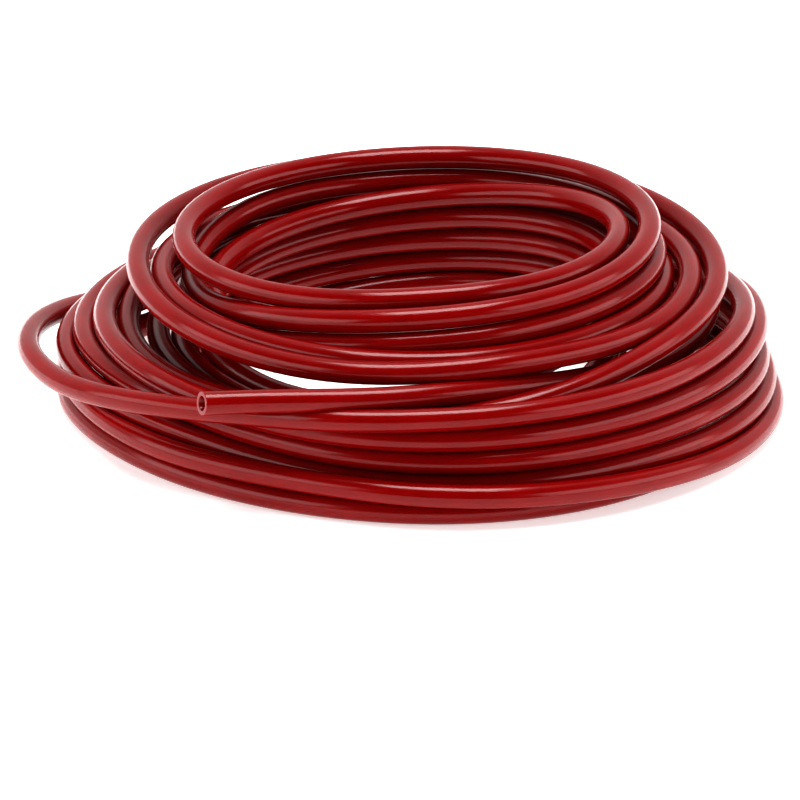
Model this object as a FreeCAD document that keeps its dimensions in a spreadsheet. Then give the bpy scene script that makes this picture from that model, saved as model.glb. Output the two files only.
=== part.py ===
import FreeCAD, Part
import Sketcher
import math
import os

# A hank of plain plastic air line. The hose is wound by hand into a loose ring that
# stands on the floor: a wide outer stack of turns and a narrow inner stack, with more
# turns piled on top of both. One turn swings out past the stack on the left, and the
# free end lies straight across the front. Millimetres; +Z is up.

os.makedirs("parts", exist_ok=True)
doc = FreeCAD.newDocument("air_hose")
vector = FreeCAD.Vector

# ---- driving dimensions ----------------------------------------------------------
sheet = doc.addObject("Spreadsheet::Sheet", "Dims")
dimensions = [
    ("tube_dia", 8.0, "outside diameter of the hose"),
    ("bore_dia", 5.0, "inside diameter of the hose"),
    ("ring_axis_x", 6.3, "ring axis, right of the middle of the whole hank"),
    ("stack_height", 36.0, "top of the lower stacks, where the free end lies"),
    ("eye_radius", 64.0, "clear inside of the ring"),
    ("inner_stack_radius", 72.8, "outside of the narrow inner stack"),
    ("outer_stack_inside", 90.0, "inside of the wide outer stack"),
    ("outer_stack_foot", 126.1, "outside of the wide stack at the floor"),
    ("outer_stack_top", 116.0, "outside of the wide stack at its top"),
    ("pile_foot_radius", 97.0, "outside of the pile where it stands on the stacks"),
    ("pile_widest_radius", 106.0, "outside of the pile's widest turns"),
    ("pile_widest_low", 47.0, "height where the pile gets to its widest"),
    ("pile_widest_high", 53.0, "height where the pile starts to narrow"),
    ("pile_top_radius", 84.4, "outside of the topmost turn"),
    ("pile_height", 71.0, "height of the whole hank"),
    ("end_face_x", -72.4, "cut face of the free end, from the ring axis"),
    ("end_line_y", -105.6, "line of the free end, in front of the ring axis"),
    ("end_length", 20.0, "straight length of tube behind the cut face"),
]
for row, (alias, value, meaning) in enumerate(dimensions, start=1):
    sheet.set(f"A{row}", meaning)
    sheet.set(f"B{row}", str(value))
    sheet.setAlias(f"B{row}", alias)
doc.recompute()


# ---- revolved outlines of the stacks ---------------------------------------------
def origin_feature(body, role):
    return next(item for item in body.Origin.OriginFeatures if item.Role == role)


def turned_stack(name, corners):
    """A ring with the given outline, each corner a (radius, height) pair of aliases."""
    body = doc.addObject("PartDesign::Body", name)
    body.Label = name
    sketch = body.newObject("Sketcher::SketchObject", name + "_outline")
    sketch.AttachmentSupport = (origin_feature(body, "XZ_Plane"), "")
    sketch.MapMode = "FlatFace"
    points = []
    for radius, height in corners:
        level = 0.0 if height is None else float(sheet.get(height))
        points.append(vector(float(sheet.get(radius)), level, 0))
    count = len(points)
    for index in range(count):
        side = Part.LineSegment(points[index], points[(index + 1) % count])
        sketch.addGeometry(side, False)
    for index in range(count):
        joined = Sketcher.Constraint("Coincident", index, 2, (index + 1) % count, 1)
        sketch.addConstraint(joined)
    for index, (radius, height) in enumerate(corners):
        across = sketch.addConstraint(
            Sketcher.Constraint("DistanceX", -1, 1, index, 1, points[index].x))
        sketch.setExpression(f"Constraints[{across}]", f"Dims.{radius}")
        if height is None:
            sketch.addConstraint(Sketcher.Constraint("PointOnObject", index, 1, -1))
        else:
            rise = sketch.addConstraint(
                Sketcher.Constraint("DistanceY", -1, 1, index, 1, points[index].y))
            sketch.setExpression(f"Constraints[{rise}]", f"Dims.{height}")
    ring = body.newObject("PartDesign::Revolution", name + "_ring")
    ring.Profile = sketch
    ring.ReferenceAxis = (sketch, ["V_Axis"])
    ring.Angle = 360.0
    body.setExpression("Placement.Base.x", "Dims.ring_axis_x")
    doc.recompute()
    return body, ring


def round_rims(body, ring, rims):
    """Round the named (radius, height) rims by the radius of the hose."""
    names = []
    for radius, height in rims:
        level = 0.0 if height is None else float(sheet.get(height))
        for index, edge in enumerate(ring.Shape.Edges, start=1):
            if not isinstance(edge.Curve, Part.Circle):
                continue
            same_radius = abs(edge.Curve.Radius - float(sheet.get(radius))) < 0.01
            same_level = abs(edge.Curve.Center.z - level) < 0.01
            if same_radius and same_level:
                names.append(f"Edge{index}")
    rounding = body.newObject("PartDesign::Fillet", body.Name + "_rims")
    rounding.Base = (ring, names)
    rounding.setExpression("Radius", "Dims.tube_dia / 2")
    body.Tip = rounding
    doc.recompute()


# The wide outer stack leans in a little as it rises.
lower_turns, lower_ring = turned_stack("lower_turns", [
    ("outer_stack_inside", None),
    ("outer_stack_foot", None),
    ("outer_stack_top", "stack_height"),
    ("outer_stack_inside", "stack_height"),
])
round_rims(lower_turns, lower_ring, [
    ("outer_stack_inside", None),
    ("outer_stack_foot", None),
])

# The narrow inner stack stands upright, one strand wide.
inner_turns, inner_ring = turned_stack("inner_turns", [
    ("eye_radius", None),
    ("inner_stack_radius", None),
    ("inner_stack_radius", "stack_height"),
    ("eye_radius", "stack_height"),
])
round_rims(inner_turns, inner_ring, [
    ("eye_radius", None),
    ("inner_stack_radius", None),
])

# The pile on top bulges out over its foot, then narrows to the topmost turn.
upper_turns, upper_ring = turned_stack("upper_turns", [
    ("eye_radius", "stack_height"),
    ("pile_foot_radius", "stack_height"),
    ("pile_widest_radius", "pile_widest_low"),
    ("pile_widest_radius", "pile_widest_high"),
    ("pile_top_radius", "pile_height"),
    ("eye_radius", "pile_height"),
])
round_rims(upper_turns, upper_ring, [
    ("pile_widest_radius", "pile_widest_low"),
    ("pile_widest_radius", "pile_widest_high"),
    ("pile_top_radius", "pile_height"),
    ("eye_radius", "pile_height"),
])


# ---- the stretches of hose that leave the stacks ---------------------------------
def rounded_route(name, points):
    """Straight runs joined by tangent arcs; prints each bend's radius."""
    edges = []
    start = points[0]
    for before, corner, after in zip(points, points[1:], points[2:]):
        back = before - corner
        ahead = after - corner
        turn = math.pi - back.getAngle(ahead)
        trim = 0.45 * min(back.Length, ahead.Length)
        print(f"{name}: bend radius {trim / math.tan(turn / 2):.0f} mm")
        into = corner + vector(back).normalize() * trim
        out = corner + vector(ahead).normalize() * trim
        inward = (vector(back).normalize() + vector(ahead).normalize()).normalize()
        bulge = trim / math.tan(turn / 2) * (1 / math.cos(turn / 2) - 1)
        edges.append(Part.LineSegment(start, into).toShape())
        edges.append(Part.Arc(into, corner + inward * bulge, out).toShape())
        start = out
    edges.append(Part.LineSegment(start, points[-1]).toShape())
    return Part.Wire(edges)


def hose_along(name, points):
    """A plain round stretch of hose along the points, placed on the ring's axis."""
    radius = float(sheet.get("tube_dia")) / 2
    route = rounded_route(name, points)
    heading = points[1] - points[0]
    section = Part.Wire(Part.makeCircle(radius, points[0], heading))
    stretch = doc.addObject("Part::Feature", name)
    stretch.Shape = route.makePipeShell([section], True, False)
    stretch.Placement.Base = vector(float(sheet.get("ring_axis_x")), 0, 0)
    expected = math.pi * radius ** 2 * route.Length
    share = stretch.Shape.Volume / expected
    print(f"{name}: length {route.Length:.1f} mm, volume / (section x length) {share:.4f}")
    return stretch


def trimmed(name, stretch, stack):
    """The stretch, cut off where it goes in among the turns of the stack."""
    cut = doc.addObject("Part::Cut", name)
    cut.Base = stretch
    cut.Tool = stack
    cut.Label = name
    return cut


# The loose turn leaves the back of the stack, swings out to the left and comes back.
loop_points = [
    vector(-30.0, 112.0, 5.5),
    vector(-60.0, 109.0, 6.5),
    vector(-88.0, 94.0, 9.5),
    vector(-111.0, 72.0, 14.5),
    vector(-126.0, 45.0, 19.5),
    vector(-134.0, 16.0, 23.5),
    vector(-133.5, -12.0, 24.5),
    vector(-124.0, -38.0, 24.0),
    vector(-108.0, -61.0, 26.5),
    vector(-85.0, -80.0, 29.5),
    vector(-58.0, -94.0, 31.5),
]
loop_stretch = hose_along("loop_stretch", loop_points)
loose_loop = trimmed("loose_loop", loop_stretch, lower_turns)

# The free end lies on the wide stack and runs in under the pile.
end_height = float(sheet.get("stack_height")) + float(sheet.get("tube_dia")) / 2
end_y = float(sheet.get("end_line_y"))
end_x = float(sheet.get("end_face_x")) + float(sheet.get("end_length"))
end_points = [
    vector(end_x, end_y, end_height),
    vector(end_x + 29.0, end_y, end_height),
    vector(4.0, -102.0, end_height + 0.3),
    vector(32.0, -92.0, end_height + 0.6),
    vector(52.0, -77.0, end_height + 0.9),
]
end_stretch = hose_along("end_stretch", end_points)
free_end = trimmed("free_end", end_stretch, upper_turns)

# The last of the tube, with its real bore and a square cut.
cut_end = doc.addObject("PartDesign::Body", "cut_end")
cut_end.Label = "cut_end"
section = cut_end.newObject("Sketcher::SketchObject", "tube_section")
section.AttachmentSupport = (origin_feature(cut_end, "YZ_Plane"), "")
section.MapMode = "FlatFace"
for index, alias in enumerate(["tube_dia", "bore_dia"]):
    radius = float(sheet.get(alias)) / 2
    section.addGeometry(Part.Circle(vector(0, 0, 0), vector(0, 0, 1), radius), False)
    section.addConstraint(Sketcher.Constraint("Coincident", index, 3, -1, 1))
    width = section.addConstraint(Sketcher.Constraint("Diameter", index, 2 * radius))
    section.setExpression(f"Constraints[{width}]", f"Dims.{alias}")
tube = cut_end.newObject("PartDesign::Pad", "tube_length")
tube.Profile = section
tube.setExpression("Length", "Dims.end_length")
cut_end.setExpression("Placement.Base.x", "Dims.ring_axis_x + Dims.end_face_x")
cut_end.setExpression("Placement.Base.y", "Dims.end_line_y")
cut_end.setExpression("Placement.Base.z", "Dims.stack_height + Dims.tube_dia / 2")
doc.recompute()

# ---- check and write -------------------------------------------------------------
for item in doc.Objects:
    for state in item.State:
        if state in ("Invalid", "Error"):
            raise RuntimeError(f"{item.Name} is {state}")

nodes = [lower_turns, inner_turns, upper_turns, loose_loop, free_end, cut_end]
whole = FreeCAD.BoundBox()
for node in nodes:
    shape = node.Shape
    if shape.isNull() or not shape.isValid() or len(shape.Solids) != 1:
        raise RuntimeError(f"{node.Label}: not one sound solid")
    box = shape.optimalBoundingBox()
    whole.add(box)
    print(f"{node.Label}: volume {shape.Volume:.1f}, "
          f"x {box.XMin:.2f} to {box.XMax:.2f}, y {box.YMin:.2f} to {box.YMax:.2f}, "
          f"z {box.ZMin:.2f} to {box.ZMax:.2f}")
    shape.exportStep(f"parts/{node.Label}.step")
for index, node in enumerate(nodes):
    for other in nodes[index + 1:]:
        shared = node.Shape.common(other.Shape).Volume
        gap = node.Shape.distToShape(other.Shape)[0]
        print(f"{node.Label} and {other.Label}: shared {shared:.3f}, gap {gap:.3f}")
print(f"whole: x {whole.XMin:.2f} to {whole.XMax:.2f}, y {whole.YMin:.2f} to "
      f"{whole.YMax:.2f}, z {whole.ZMin:.2f} to {whole.ZMax:.2f}")
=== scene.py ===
import math

import bpy
import numpy as np
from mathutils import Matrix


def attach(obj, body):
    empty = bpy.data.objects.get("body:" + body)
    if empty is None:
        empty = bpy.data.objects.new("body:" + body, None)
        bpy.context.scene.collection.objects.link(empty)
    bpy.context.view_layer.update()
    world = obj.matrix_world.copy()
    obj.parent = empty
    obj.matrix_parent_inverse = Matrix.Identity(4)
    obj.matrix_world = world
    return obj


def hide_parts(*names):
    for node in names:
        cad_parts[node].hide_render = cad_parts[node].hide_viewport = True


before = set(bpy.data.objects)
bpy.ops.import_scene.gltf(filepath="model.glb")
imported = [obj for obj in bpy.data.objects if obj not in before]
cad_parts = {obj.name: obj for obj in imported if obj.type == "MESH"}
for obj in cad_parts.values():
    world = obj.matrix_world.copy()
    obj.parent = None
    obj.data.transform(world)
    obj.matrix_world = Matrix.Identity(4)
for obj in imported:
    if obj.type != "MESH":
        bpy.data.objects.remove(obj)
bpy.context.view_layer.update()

scene = bpy.context.scene

# ---- camera ----------------------------------------------------------------------
# A long lens three metres away, looking along +Y and twenty degrees down, so that
# the hank shows almost no perspective. It aims just above and beside the origin.
lens_distance = 3.04
look_down = math.radians(20.0)
aim_right = 0.0001
aim_up = 0.0021
aim = np.array([aim_right, aim_up * math.sin(look_down), aim_up * math.cos(look_down)])
camera_data = bpy.data.cameras.new("studio_camera")
camera_data.lens = 396.7
camera_data.sensor_width = 36.0
camera_data.clip_end = 50.0
camera = bpy.data.objects.new("studio_camera", camera_data)
camera.location = aim + lens_distance * np.array(
    [0.0, -math.cos(look_down), math.sin(look_down)])
camera.rotation_euler = (math.pi / 2 - look_down, 0.0, 0.0)
scene.collection.objects.link(camera)
scene.camera = camera


# ---- the hose's line -------------------------------------------------------------
# One length of extruded air line, wound by hand from the visible end inwards and up,
# down the narrow inner stack, out along the floor and up the wide outer stack.

# A turn on the floor rests half a hose width up. The spline runs a little inside
# control points that are a winding step apart, so the radius is larger by kept_inside.
hose_width = 0.008
ring_axis = np.array([0.0063, 0.0, 0.0])
resting_height = 0.5
winding_step = 15.0
kept_inside = 1.0086

# Each turn's distance from the ring's axis and height, in hose widths, where it
# passes the front, the right, the back and the left.
pile_turns = [
    [(12.4, 4.95), (12.5, 4.9), (12.7, 5.8), (12.5, 3.95)],
    [(12.6, 4.2), (12.75, 6.3), (12.7, 6.9), (12.0, 6.6)],
    [(12.0, 5.7), (11.65, 6.35), (11.3, 5.9), (11.0, 6.2)],
    [(11.0, 5.95), (10.5, 6.15), (10.5, 5.5), (10.0, 5.0)],
    [(10.2, 6.5), (10.15, 7.15), (9.95, 6.95), (9.7, 5.8)],
    [(10.0, 7.5), (9.9, 8.4), (9.9, 8.0), (10.05, 7.6)],
    [(8.85, 8.0), (8.55, 8.2), (8.7, 6.5), (8.8, 5.4)],
]
inner_stack_turns = [
    [(8.4, 5.2), (8.5, 6.3), (8.8, 5.5), (9.2, 3.9)],
    [(8.4, 3.2), (8.5, 5.1), (8.95, 4.5), (10.2, 3.25)],
    [(8.4, 1.5), (8.5, 3.9), (9.1, 3.5), (9.9, 2.0)],
    [(8.4, 0.6), (8.5, 2.8), (8.9, 2.5), (9.8, 0.9)],
]
outer_stack_turns = [
    [(9.6, 0.5), (11.8, 0.5), (13.4, 0.5), (15.05, 0.5)],
    [(14.3, 0.5), (14.15, 0.5), (14.4, 1.4), (15.0, 1.6)],
    [(14.7, 1.36), (15.25, 0.5), (14.4, 2.4), (15.1, 2.5)],
    [(13.4, 1.45), (14.95, 1.55), (14.2, 3.3), (14.4, 3.3)],
    [(13.5, 2.45), (14.7, 2.6), (13.4, 3.9), (13.4, 4.2)],
    [(13.65, 3.4), (14.45, 3.8), (15.4, 0.7), (16.7, 3.0)],
    [(13.65, 4.45), (14.0, 4.6), (13.2, 4.4), (11.1, 3.4)],
    [(12.0, 3.2), (10.1, 4.2)],
]

# Hand winding isn't round: between the quarters some turns are drawn in or stand
# out. Each is turns wound, degrees past the front, distance and height.
drawn_turns = [
    (0, 15.0, 12.2, 5.0), (0, 28.0, 11.9, 4.78), (0, 50.0, 12.0, 4.55), (0, 70.0, 12.3, 4.45),
    (1, 25.0, 12.95, 4.8), (1, 45.0, 12.85, 5.46), (1, 220.0, 12.5, 6.85),
    (2, 28.0, 11.95, 5.9), (2, 50.0, 12.1, 5.95),
    (4, 190.0, 9.95, 6.87), (4, 215.0, 9.95, 6.8), (4, 230.0, 10.0, 6.6), (4, 315.0, 9.8, 6.6),
    (5, 36.0, 10.1, 7.8), (5, 325.0, 9.2, 7.6),
    (6, 40.0, 9.0, 8.2),
    (7, 322.0, 8.6, 2.75),
    (8, 45.0, 8.4, 4.45), (8, 310.0, 9.7, 2.75),
    (9, 57.0, 8.4, 2.45),
    (11, 290.0, 14.3, 0.5), (11, 315.0, 13.9, 0.5), (11, 340.0, 13.95, 0.5),
    (12, 290.0, 14.2, 1.6), (12, 315.0, 13.85, 1.5), (12, 340.0, 13.85, 1.4),
    (13, 25.0, 15.05, 1.15), (13, 45.0, 14.85, 0.8), (13, 315.0, 13.3, 2.0),
    (14, 315.0, 13.1, 2.9),
    (15, 50.0, 14.3, 2.6),
    (16, 35.0, 13.9, 3.4), (16, 60.0, 14.25, 3.65),
    (17, 41.0, 13.95, 4.62), (17, 120.0, 13.8, 4.1), (17, 315.0, 11.2, 3.2),
    (18, 70.0, 10.5, 3.9),
]

# The free end lies straight along the front of the stack, and the loose turn swings
# out past the left side: their points from the ring's axis, in metres. The coil's own
# points are left out before free_end_until and from loose_turn_from to
# loose_turn_until, which are degrees of winding.
free_end_points = [
    (-0.0735, -0.1090, 0.0406), (-0.0600, -0.1080, 0.0409), (-0.0420, -0.1078, 0.0412),
    (-0.0180, -0.1066, 0.0410), (0.0040, -0.1030, 0.0402),
]
loose_turn_points = [
    (-0.0540, 0.1130, 0.0055), (-0.0850, 0.0980, 0.0085), (-0.1110, 0.0720, 0.0135),
    (-0.1260, 0.0450, 0.0190), (-0.1340, 0.0160, 0.0230), (-0.1340, -0.0120, 0.0240),
    (-0.1240, -0.0380, 0.0235), (-0.1080, -0.0610, 0.0260),
    (-0.0850, -0.0800, 0.0290), (-0.0600, -0.0940, 0.0318),
]
free_end_until = 15.0
loose_turn_from = 16 * 360.0 + 203.0
loose_turn_until = 16 * 360.0 + 337.0


def smooth_through(stations, values, wanted):
    """Natural cubic spline through the stations: each span is the cubic that meets
    its neighbours in value, slope and curvature, with no curvature at the two ends."""
    span = np.diff(stations)
    count = len(stations)
    system = np.eye(count)
    slope_change = np.zeros(count)
    inner = np.arange(1, count - 1)
    system[inner, inner - 1] = span[:-1]
    system[inner, inner] = 2.0 * (span[:-1] + span[1:])
    system[inner, inner + 1] = span[1:]
    slopes = np.diff(values) / span
    slope_change[1:-1] = 6.0 * np.diff(slopes)
    bend = np.linalg.solve(system, slope_change)
    k = np.clip(np.searchsorted(stations, wanted) - 1, 0, count - 2)
    before, after = wanted - stations[k], stations[k + 1] - wanted
    curve_part = (bend[k + 1] * before ** 3 + bend[k] * after ** 3) / (6.0 * span[k])
    line_before = (values[k + 1] / span[k] - bend[k + 1] * span[k] / 6.0) * before
    line_after = (values[k] / span[k] - bend[k] * span[k] / 6.0) * after
    return curve_part + line_before + line_after


def hose_route():
    """The control points in hose widths about the ring's axis: at every 15 degrees
    of winding, radius and height from the turns' stations, as (r sin a, -r cos a, z)."""
    quarters = sum(pile_turns + inner_stack_turns + outer_stack_turns, [])
    stations = np.array(
        [(90.0 * quarter, *place) for quarter, place in enumerate(quarters)]
        + [(360.0 * turns + past, *place) for turns, past, *place in drawn_turns])
    angles, distances, heights = stations[np.argsort(stations[:, 0])].T
    wanted = np.arange(0.0, angles[-1] + 0.1, winding_step)
    radius = smooth_through(angles, distances, wanted) * kept_inside
    height = np.maximum(smooth_through(angles, heights, wanted), resting_height)
    turned = np.radians(wanted)
    coil = np.stack([radius * np.sin(turned), -radius * np.cos(turned), height], axis=1)
    to_loose_turn = (wanted >= free_end_until) & (wanted < loose_turn_from)
    return np.concatenate([
        np.array(free_end_points) / hose_width, coil[to_loose_turn],
        np.array(loose_turn_points) / hose_width, coil[wanted > loose_turn_until]])


def settle(points, steps=60, apart=1.02, hold=0.02, stride=1.2):
    """The turns rest against each other and on the floor. Points of the quadratic
    spline closer than a hose width push each other away, each push is shared out to
    the control points by their weights and spread along the hose, and every control
    point is drawn back a little to where the winding put it. Lengths are in hose
    widths, and a point is compared only with those further on than same_stretch."""
    samples = 8
    same_stretch = 28
    neighbours_within = 1.6
    longest_push = 0.4
    compared_at_once = 200
    new_pairs_every = 6
    share = (np.arange(samples) + 0.5) / samples
    weights = np.stack([0.5 * (1 - share) ** 2, 0.5 + share - share ** 2,
                        0.5 * share ** 2])
    start = points.copy()
    spans = len(points) - 2

    def along(control):
        """The spline's points, as the weighted sums of three control points each."""
        triples = np.stack([control[:-2], control[1:-1], control[2:]], axis=1)
        return np.einsum("wk,swc->skc", weights, triples).reshape(-1, 3)

    def back(moves):
        """Moves of the spline's points, summed on the control points by weight."""
        shared = np.einsum("wk,skc->swc", weights, moves.reshape(spans, samples, -1))
        total = np.zeros((len(points), moves.shape[1]))
        for corner in range(3):
            total[corner:corner + spans] += shared[:, corner]
        return total

    load = back(np.ones((spans * samples, 1)))
    for step in range(steps):
        line = along(points)
        if step % new_pairs_every == 0:
            near = []
            for first in range(0, len(line), compared_at_once):
                block = line[first:first + compared_at_once]
                gaps = np.linalg.norm(block[:, None] - line[None], axis=2)
                one, other = np.nonzero(gaps < neighbours_within)
                one = one + first
                near.append(np.stack([one, other])[:, other > one + same_stretch])
            one, other = np.concatenate(near, axis=1)
        across = line[one] - line[other]
        gap = np.linalg.norm(across, axis=1)
        strength = np.clip(apart - gap, 0.0, longest_push) / np.maximum(gap, 1e-6) / 2
        push = strength[:, None] * across
        touching = gap < apart
        moves = np.zeros_like(line)
        touches = np.zeros(len(line))
        for side, sign in ((one, 1.0), (other, -1.0)):
            np.add.at(moves, side[touching], sign * push[touching])
            np.add.at(touches, side[touching], 1)
        moves /= np.sqrt(np.maximum(touches, 1))[:, None]
        shift = back(moves) / load
        for _ in range(2):
            shift[1:-1] = 0.25 * shift[:-2] + 0.5 * shift[1:-1] + 0.25 * shift[2:]
        points = points + stride * shift + hold * (start - points)
        points[:, 2] = np.maximum(points[:, 2], resting_height)
    return points


# The straight part of the free end keeps its line while the coil settles.
route = hose_route()
straight_points = 4
straight_part = route[:straight_points].copy()
route = settle(route)
route[:straight_points] = straight_part
control_points = route * hose_width + ring_axis

# The line itself: a quadratic spline that follows the control points, read back as
# points an eighth of a span apart.
hose_line = bpy.data.curves.new("hose_line", "CURVE")
hose_line.dimensions = "3D"
spline = hose_line.splines.new("NURBS")
spline.points.add(len(control_points) - 1)
spline.points.foreach_set(
    "co", np.column_stack([control_points, np.ones(len(control_points))]).ravel())
spline.order_u = 3
spline.use_endpoint_u = True
spline.resolution_u = 8
line_object = bpy.data.objects.new("hose_line", hose_line)
line_mesh = bpy.data.meshes.new_from_object(line_object)
line = np.empty(len(line_mesh.vertices) * 3)
line_mesh.vertices.foreach_get("co", line)
line = line.reshape(-1, 3)
bpy.data.meshes.remove(line_mesh)
bpy.data.objects.remove(line_object)


# ---- the hose --------------------------------------------------------------------
# Extruded polyurethane tube, 8 mm outside and 5 mm inside, one piece from end to
# end. Both ends are cut with a knife, the near one at a slight slant.
bore_width = 0.005
sides = 28
rings = 1690

# The near cut leans back by cut_slope of its width and looks forward and up. The lean
# dies away over slant_length. The plain tube starts and stops short of the two cuts.
cut_slope = 0.38
cut_faces_up = math.radians(20.0)
slant_length = 0.012
near_cut_room = 0.0035
far_cut_room = 0.0009

# The blunt edge round a cut, from outside to bore: radius and depth behind the cut.
end_lip = [(0.0040, 0.00025), (0.00398, 0.00008), (0.00392, 0.00001), (0.00385, 0.0),
           (0.00265, 0.0), (0.00258, 0.00001), (0.00252, 0.00008), (0.0025, 0.00025)]


def hose_surface(path):
    """A hollow tube along the path: rows of circles, r cos a sideways and r sin a up,
    that run out along the outside, over the far cut, back along the bore and over
    the near cut, where each point is moved ahead by the slant times its distance
    across the cut. Gives the points, the same points with the hose laid straight,
    and the length of the path."""
    steps = np.linalg.norm(np.diff(path, axis=0), axis=1)
    walked = np.concatenate([[0.0], np.cumsum(steps)])
    length = walked[-1]
    body = np.linspace(near_cut_room, length - far_cut_room, rings)
    lip_radius, lip_depth = np.array(end_lip).T
    radius = np.concatenate([
        np.full(rings, hose_width / 2), lip_radius, np.full(rings, bore_width / 2),
        lip_radius[::-1]])
    place = np.concatenate([body, length - lip_depth, body[::-1], lip_depth[::-1]])
    turn = 2 * np.pi * np.arange(sides) / sides
    slant = cut_slope * np.clip(1.0 - place / slant_length, 0.0, 1.0)
    across_cut = hose_width / 2 + radius[:, None] * np.cos(turn - cut_faces_up)
    moved_ahead = slant[:, None] * across_cut
    centre = np.stack([np.interp(place, walked, path[:, k]) for k in range(3)], axis=1)
    ahead = np.gradient(path, walked, axis=0)
    heading = np.stack([np.interp(place, walked, ahead[:, k]) for k in range(3)], axis=1)
    heading /= np.linalg.norm(heading, axis=1)[:, None]
    sideways = np.cross(heading, (0.0, 0.0, 1.0))
    sideways /= np.linalg.norm(sideways, axis=1)[:, None]
    upwards = np.cross(sideways, heading)
    out = (np.cos(turn)[None, :, None] * sideways[:, None]
           + np.sin(turn)[None, :, None] * upwards[:, None])
    points = (centre[:, None] + radius[:, None, None] * out
              + moved_ahead[:, :, None] * heading[:, None])
    straight = np.stack(np.broadcast_arrays(
        place[:, None], radius[:, None] * np.cos(turn), radius[:, None] * np.sin(turn)),
        axis=2)
    return points.reshape(-1, 3), straight.reshape(-1, 3), length


def closed_grid_faces(rows, columns):
    """The faces of a grid whose last row joins the first and last column the first."""
    row, column = np.meshgrid(np.arange(rows), np.arange(columns), indexing="ij")
    next_row, next_column = (row + 1) % rows, (column + 1) % columns
    return np.stack([row * columns + column, row * columns + next_column,
                     next_row * columns + next_column, next_row * columns + column],
                    axis=2).reshape(-1, 4)


points, straight, hose_length = hose_surface(line)
faces = closed_grid_faces(len(points) // sides, sides)
hose_mesh = bpy.data.meshes.new("air_hose")
hose_mesh.vertices.add(len(points))
hose_mesh.vertices.foreach_set("co", points.ravel())
hose_mesh.loops.add(faces.size)
hose_mesh.loops.foreach_set("vertex_index", faces.ravel())
hose_mesh.polygons.add(len(faces))
hose_mesh.polygons.foreach_set("loop_start", np.arange(len(faces)) * 4)
hose_mesh.polygons.foreach_set("use_smooth", np.ones(len(faces), dtype=bool))
laid_straight = hose_mesh.attributes.new("laid_straight", "FLOAT_VECTOR", "POINT")
laid_straight.data.foreach_set("vector", straight.ravel())
hose_mesh.update()
hose_mesh.validate()
hose = bpy.data.objects.new("air_hose", hose_mesh)
scene.collection.objects.link(hose)


class Wire:
    """One output of a shader's nodes. Python arithmetic on it adds Math nodes."""

    def __init__(self, tree, socket=None):
        self.tree = tree
        self.socket = socket

    def node(self, kind, settings=None, inputs=None, output=0):
        """Adds a node of the kind, with its settings, then fills or links its inputs."""
        made = self.tree.nodes.new(kind)
        for name, value in (settings or {}).items():
            setattr(made, name, value)
        for name, value in (inputs or {}).items():
            if isinstance(value, Wire):
                self.tree.links.new(value.socket, made.inputs[name])
            else:
                made.inputs[name].default_value = value
        return Wire(self.tree, made.outputs[output] if made.outputs else None)

    def maths(self, operation, first, second):
        """A Math node on two values, each a Wire or a number."""
        return self.node("ShaderNodeMath", {"operation": operation},
                         {0: first, 1: second})

    def __add__(self, other):
        return self.maths("ADD", self, other)

    def __radd__(self, other):
        return self.maths("ADD", other, self)

    def __mul__(self, other):
        return self.maths("MULTIPLY", self, other)

    def __rmul__(self, other):
        return self.maths("MULTIPLY", other, self)


def red_polyurethane():
    """Satin red plastic, read along the hose as laid straight: fine lengthwise die
    lines stand in relief, and mottling and scuffs vary the colour and roughness."""
    material = bpy.data.materials.new("red_polyurethane")
    material.use_nodes = True
    material.node_tree.nodes.clear()
    wire = Wire(material.node_tree)
    laid = wire.node("ShaderNodeAttribute", {"attribute_name": "laid_straight"},
                     output="Vector")

    def grain(scale_along, scale_around, detail, roughness):
        """Noise with its own scale along and around the hose."""
        stretched = wire.node(
            "ShaderNodeVectorMath", {"operation": "MULTIPLY"},
            {0: laid, 1: (scale_along, scale_around, scale_around)})
        return wire.node("ShaderNodeTexNoise", {"noise_dimensions": "3D"},
                         {"Vector": stretched, "Scale": 1.0, "Detail": detail,
                          "Roughness": roughness})

    die_lines = grain(2.0, 1500.0, 2.0, 0.5)
    mottling = grain(70.0, 180.0, 3.0, 0.5)
    scuffs = grain(420.0, 900.0, 4.0, 0.6)
    scuffed = wire.node("ShaderNodeMapRange", {}, {
        "Value": scuffs, "From Min": 0.60, "From Max": 0.72})
    shade = wire.node("ShaderNodeMapRange", {}, {
        "Value": mottling * 0.7 + die_lines * 0.3, "From Min": 0.3, "From Max": 0.7})
    dark_red = (0.225, 0.0006, 0.0008, 1.0)
    bright_red = (0.28, 0.001, 0.0014, 1.0)
    colour = wire.node("ShaderNodeMix", {"data_type": "RGBA"}, {
        "Factor": shade, "A": dark_red, "B": bright_red}, output="Result")
    rough = 0.11 + mottling * 0.10 + die_lines * 0.05 + scuffed * 0.03
    relief = wire.node("ShaderNodeBump", {}, {
        "Height": die_lines * 0.9 + mottling * 0.1, "Strength": 0.12,
        "Distance": 0.00008})
    surface = wire.node("ShaderNodeBsdfPrincipled", {}, {
        "Base Color": colour, "Roughness": rough, "Normal": relief, "IOR": 1.5,
        "Specular IOR Level": 0.4, "Subsurface Weight": 0.3,
        "Subsurface Radius": (1.0, 0.06, 0.05), "Subsurface Scale": 0.003})
    wire.node("ShaderNodeOutputMaterial", {}, {"Surface": surface})
    return material


hose_mesh.materials.append(red_polyurethane())
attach(hose, "root")
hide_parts("lower_turns", "inner_turns", "upper_turns", "loose_loop",
            "free_end", "cut_end")


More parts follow.
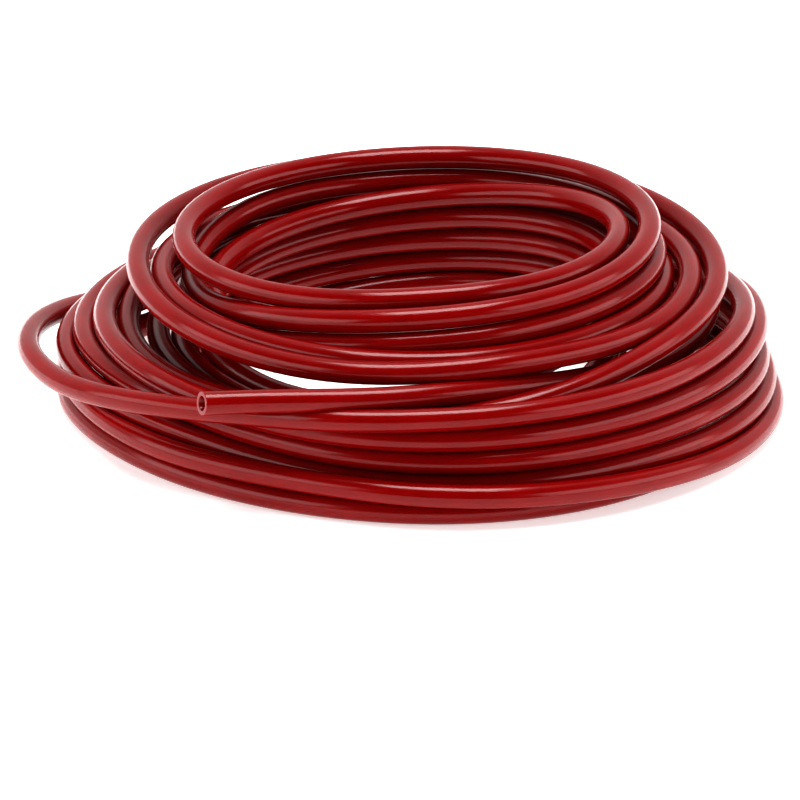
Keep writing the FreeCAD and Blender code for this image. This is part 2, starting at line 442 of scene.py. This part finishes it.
# ---- studio ----------------------------------------------------------------------
# A plain white paper floor that glows more towards the back, as if lit from behind,
# with air that is brighter at the back too, and soft white boxes above and beside.
floor_reach = 6.0
floor_mesh = bpy.data.meshes.new("studio_floor")
floor_mesh.from_pydata(
    [(-floor_reach, -floor_reach, 0.0), (floor_reach, -floor_reach, 0.0),
     (floor_reach, floor_reach, 0.0), (-floor_reach, floor_reach, 0.0)],
    [], [(0, 1, 2, 3)])
studio_floor = bpy.data.objects.new("studio_floor", floor_mesh)
scene.collection.objects.link(studio_floor)
white_paper = bpy.data.materials.new("white_paper")
white_paper.use_nodes = True
white_paper.node_tree.nodes.clear()
paper = Wire(white_paper.node_tree)
on_floor = paper.node("ShaderNodeTexCoord", output="Object")
depth = paper.node("ShaderNodeSeparateXYZ", {}, {0: on_floor}, output="Y")
lit_from_behind = paper.node("ShaderNodeMapRange", {"interpolation_type": "SMOOTHSTEP"}, {
    "Value": depth, "From Min": -0.2, "From Max": 0.5, "To Min": 0.27, "To Max": 1.0})
paper_surface = paper.node("ShaderNodeBsdfPrincipled", {}, {
    "Base Color": (0.92, 0.92, 0.92, 1.0), "Roughness": 0.9,
    "Specular IOR Level": 0.1, "Emission Color": lit_from_behind,
    "Emission Strength": 1.1})
paper.node("ShaderNodeOutputMaterial", {}, {"Surface": paper_surface})
floor_mesh.materials.append(white_paper)

world = bpy.data.worlds.new("studio_air")
world.use_nodes = True
world.node_tree.nodes.clear()
air = Wire(world.node_tree)
direction = air.node("ShaderNodeTexCoord", output="Generated")
towards_back = air.node("ShaderNodeSeparateXYZ", {}, {0: direction}, output="Y")
glow = air.node("ShaderNodeMapRange", {"interpolation_type": "SMOOTHSTEP"}, {
    "Value": towards_back, "From Min": -0.3, "From Max": 0.7,
    "To Min": 0.05, "To Max": 0.7})
white_air = air.node("ShaderNodeBackground", {}, {
    "Color": (1.0, 1.0, 1.0, 1.0), "Strength": glow})
air.node("ShaderNodeOutputWorld", {}, {"Surface": white_air})
scene.world = world
scene.view_settings.view_transform = "Standard"
scene.view_settings.look = "High Contrast"


def soft_box(name, place, width, height, watts):
    """A rectangular lamp at the place, turned to face the middle of the floor."""
    lamp = bpy.data.lights.new(name, "AREA")
    lamp.shape = "RECTANGLE"
    lamp.size, lamp.size_y = width, height
    lamp.energy = watts
    holder = bpy.data.objects.new(name, lamp)
    holder.location = place
    facing = -np.array(place) / np.linalg.norm(place)
    level = math.hypot(facing[0], facing[1])
    holder.rotation_euler = (math.atan2(level, -facing[2]), 0.0,
                             math.atan2(facing[1], facing[0]) - math.pi / 2)
    scene.collection.objects.link(holder)


soft_box("overhead_box", place=(0.0, -0.1, 1.5), width=0.8, height=0.8, watts=15.0)
soft_box("left_panel", place=(-1.36, -0.55, 0.5), width=1.9, height=0.8, watts=10.5)
soft_box("right_panel", place=(1.36, -0.55, 0.5), width=1.9, height=0.8, watts=10.5)
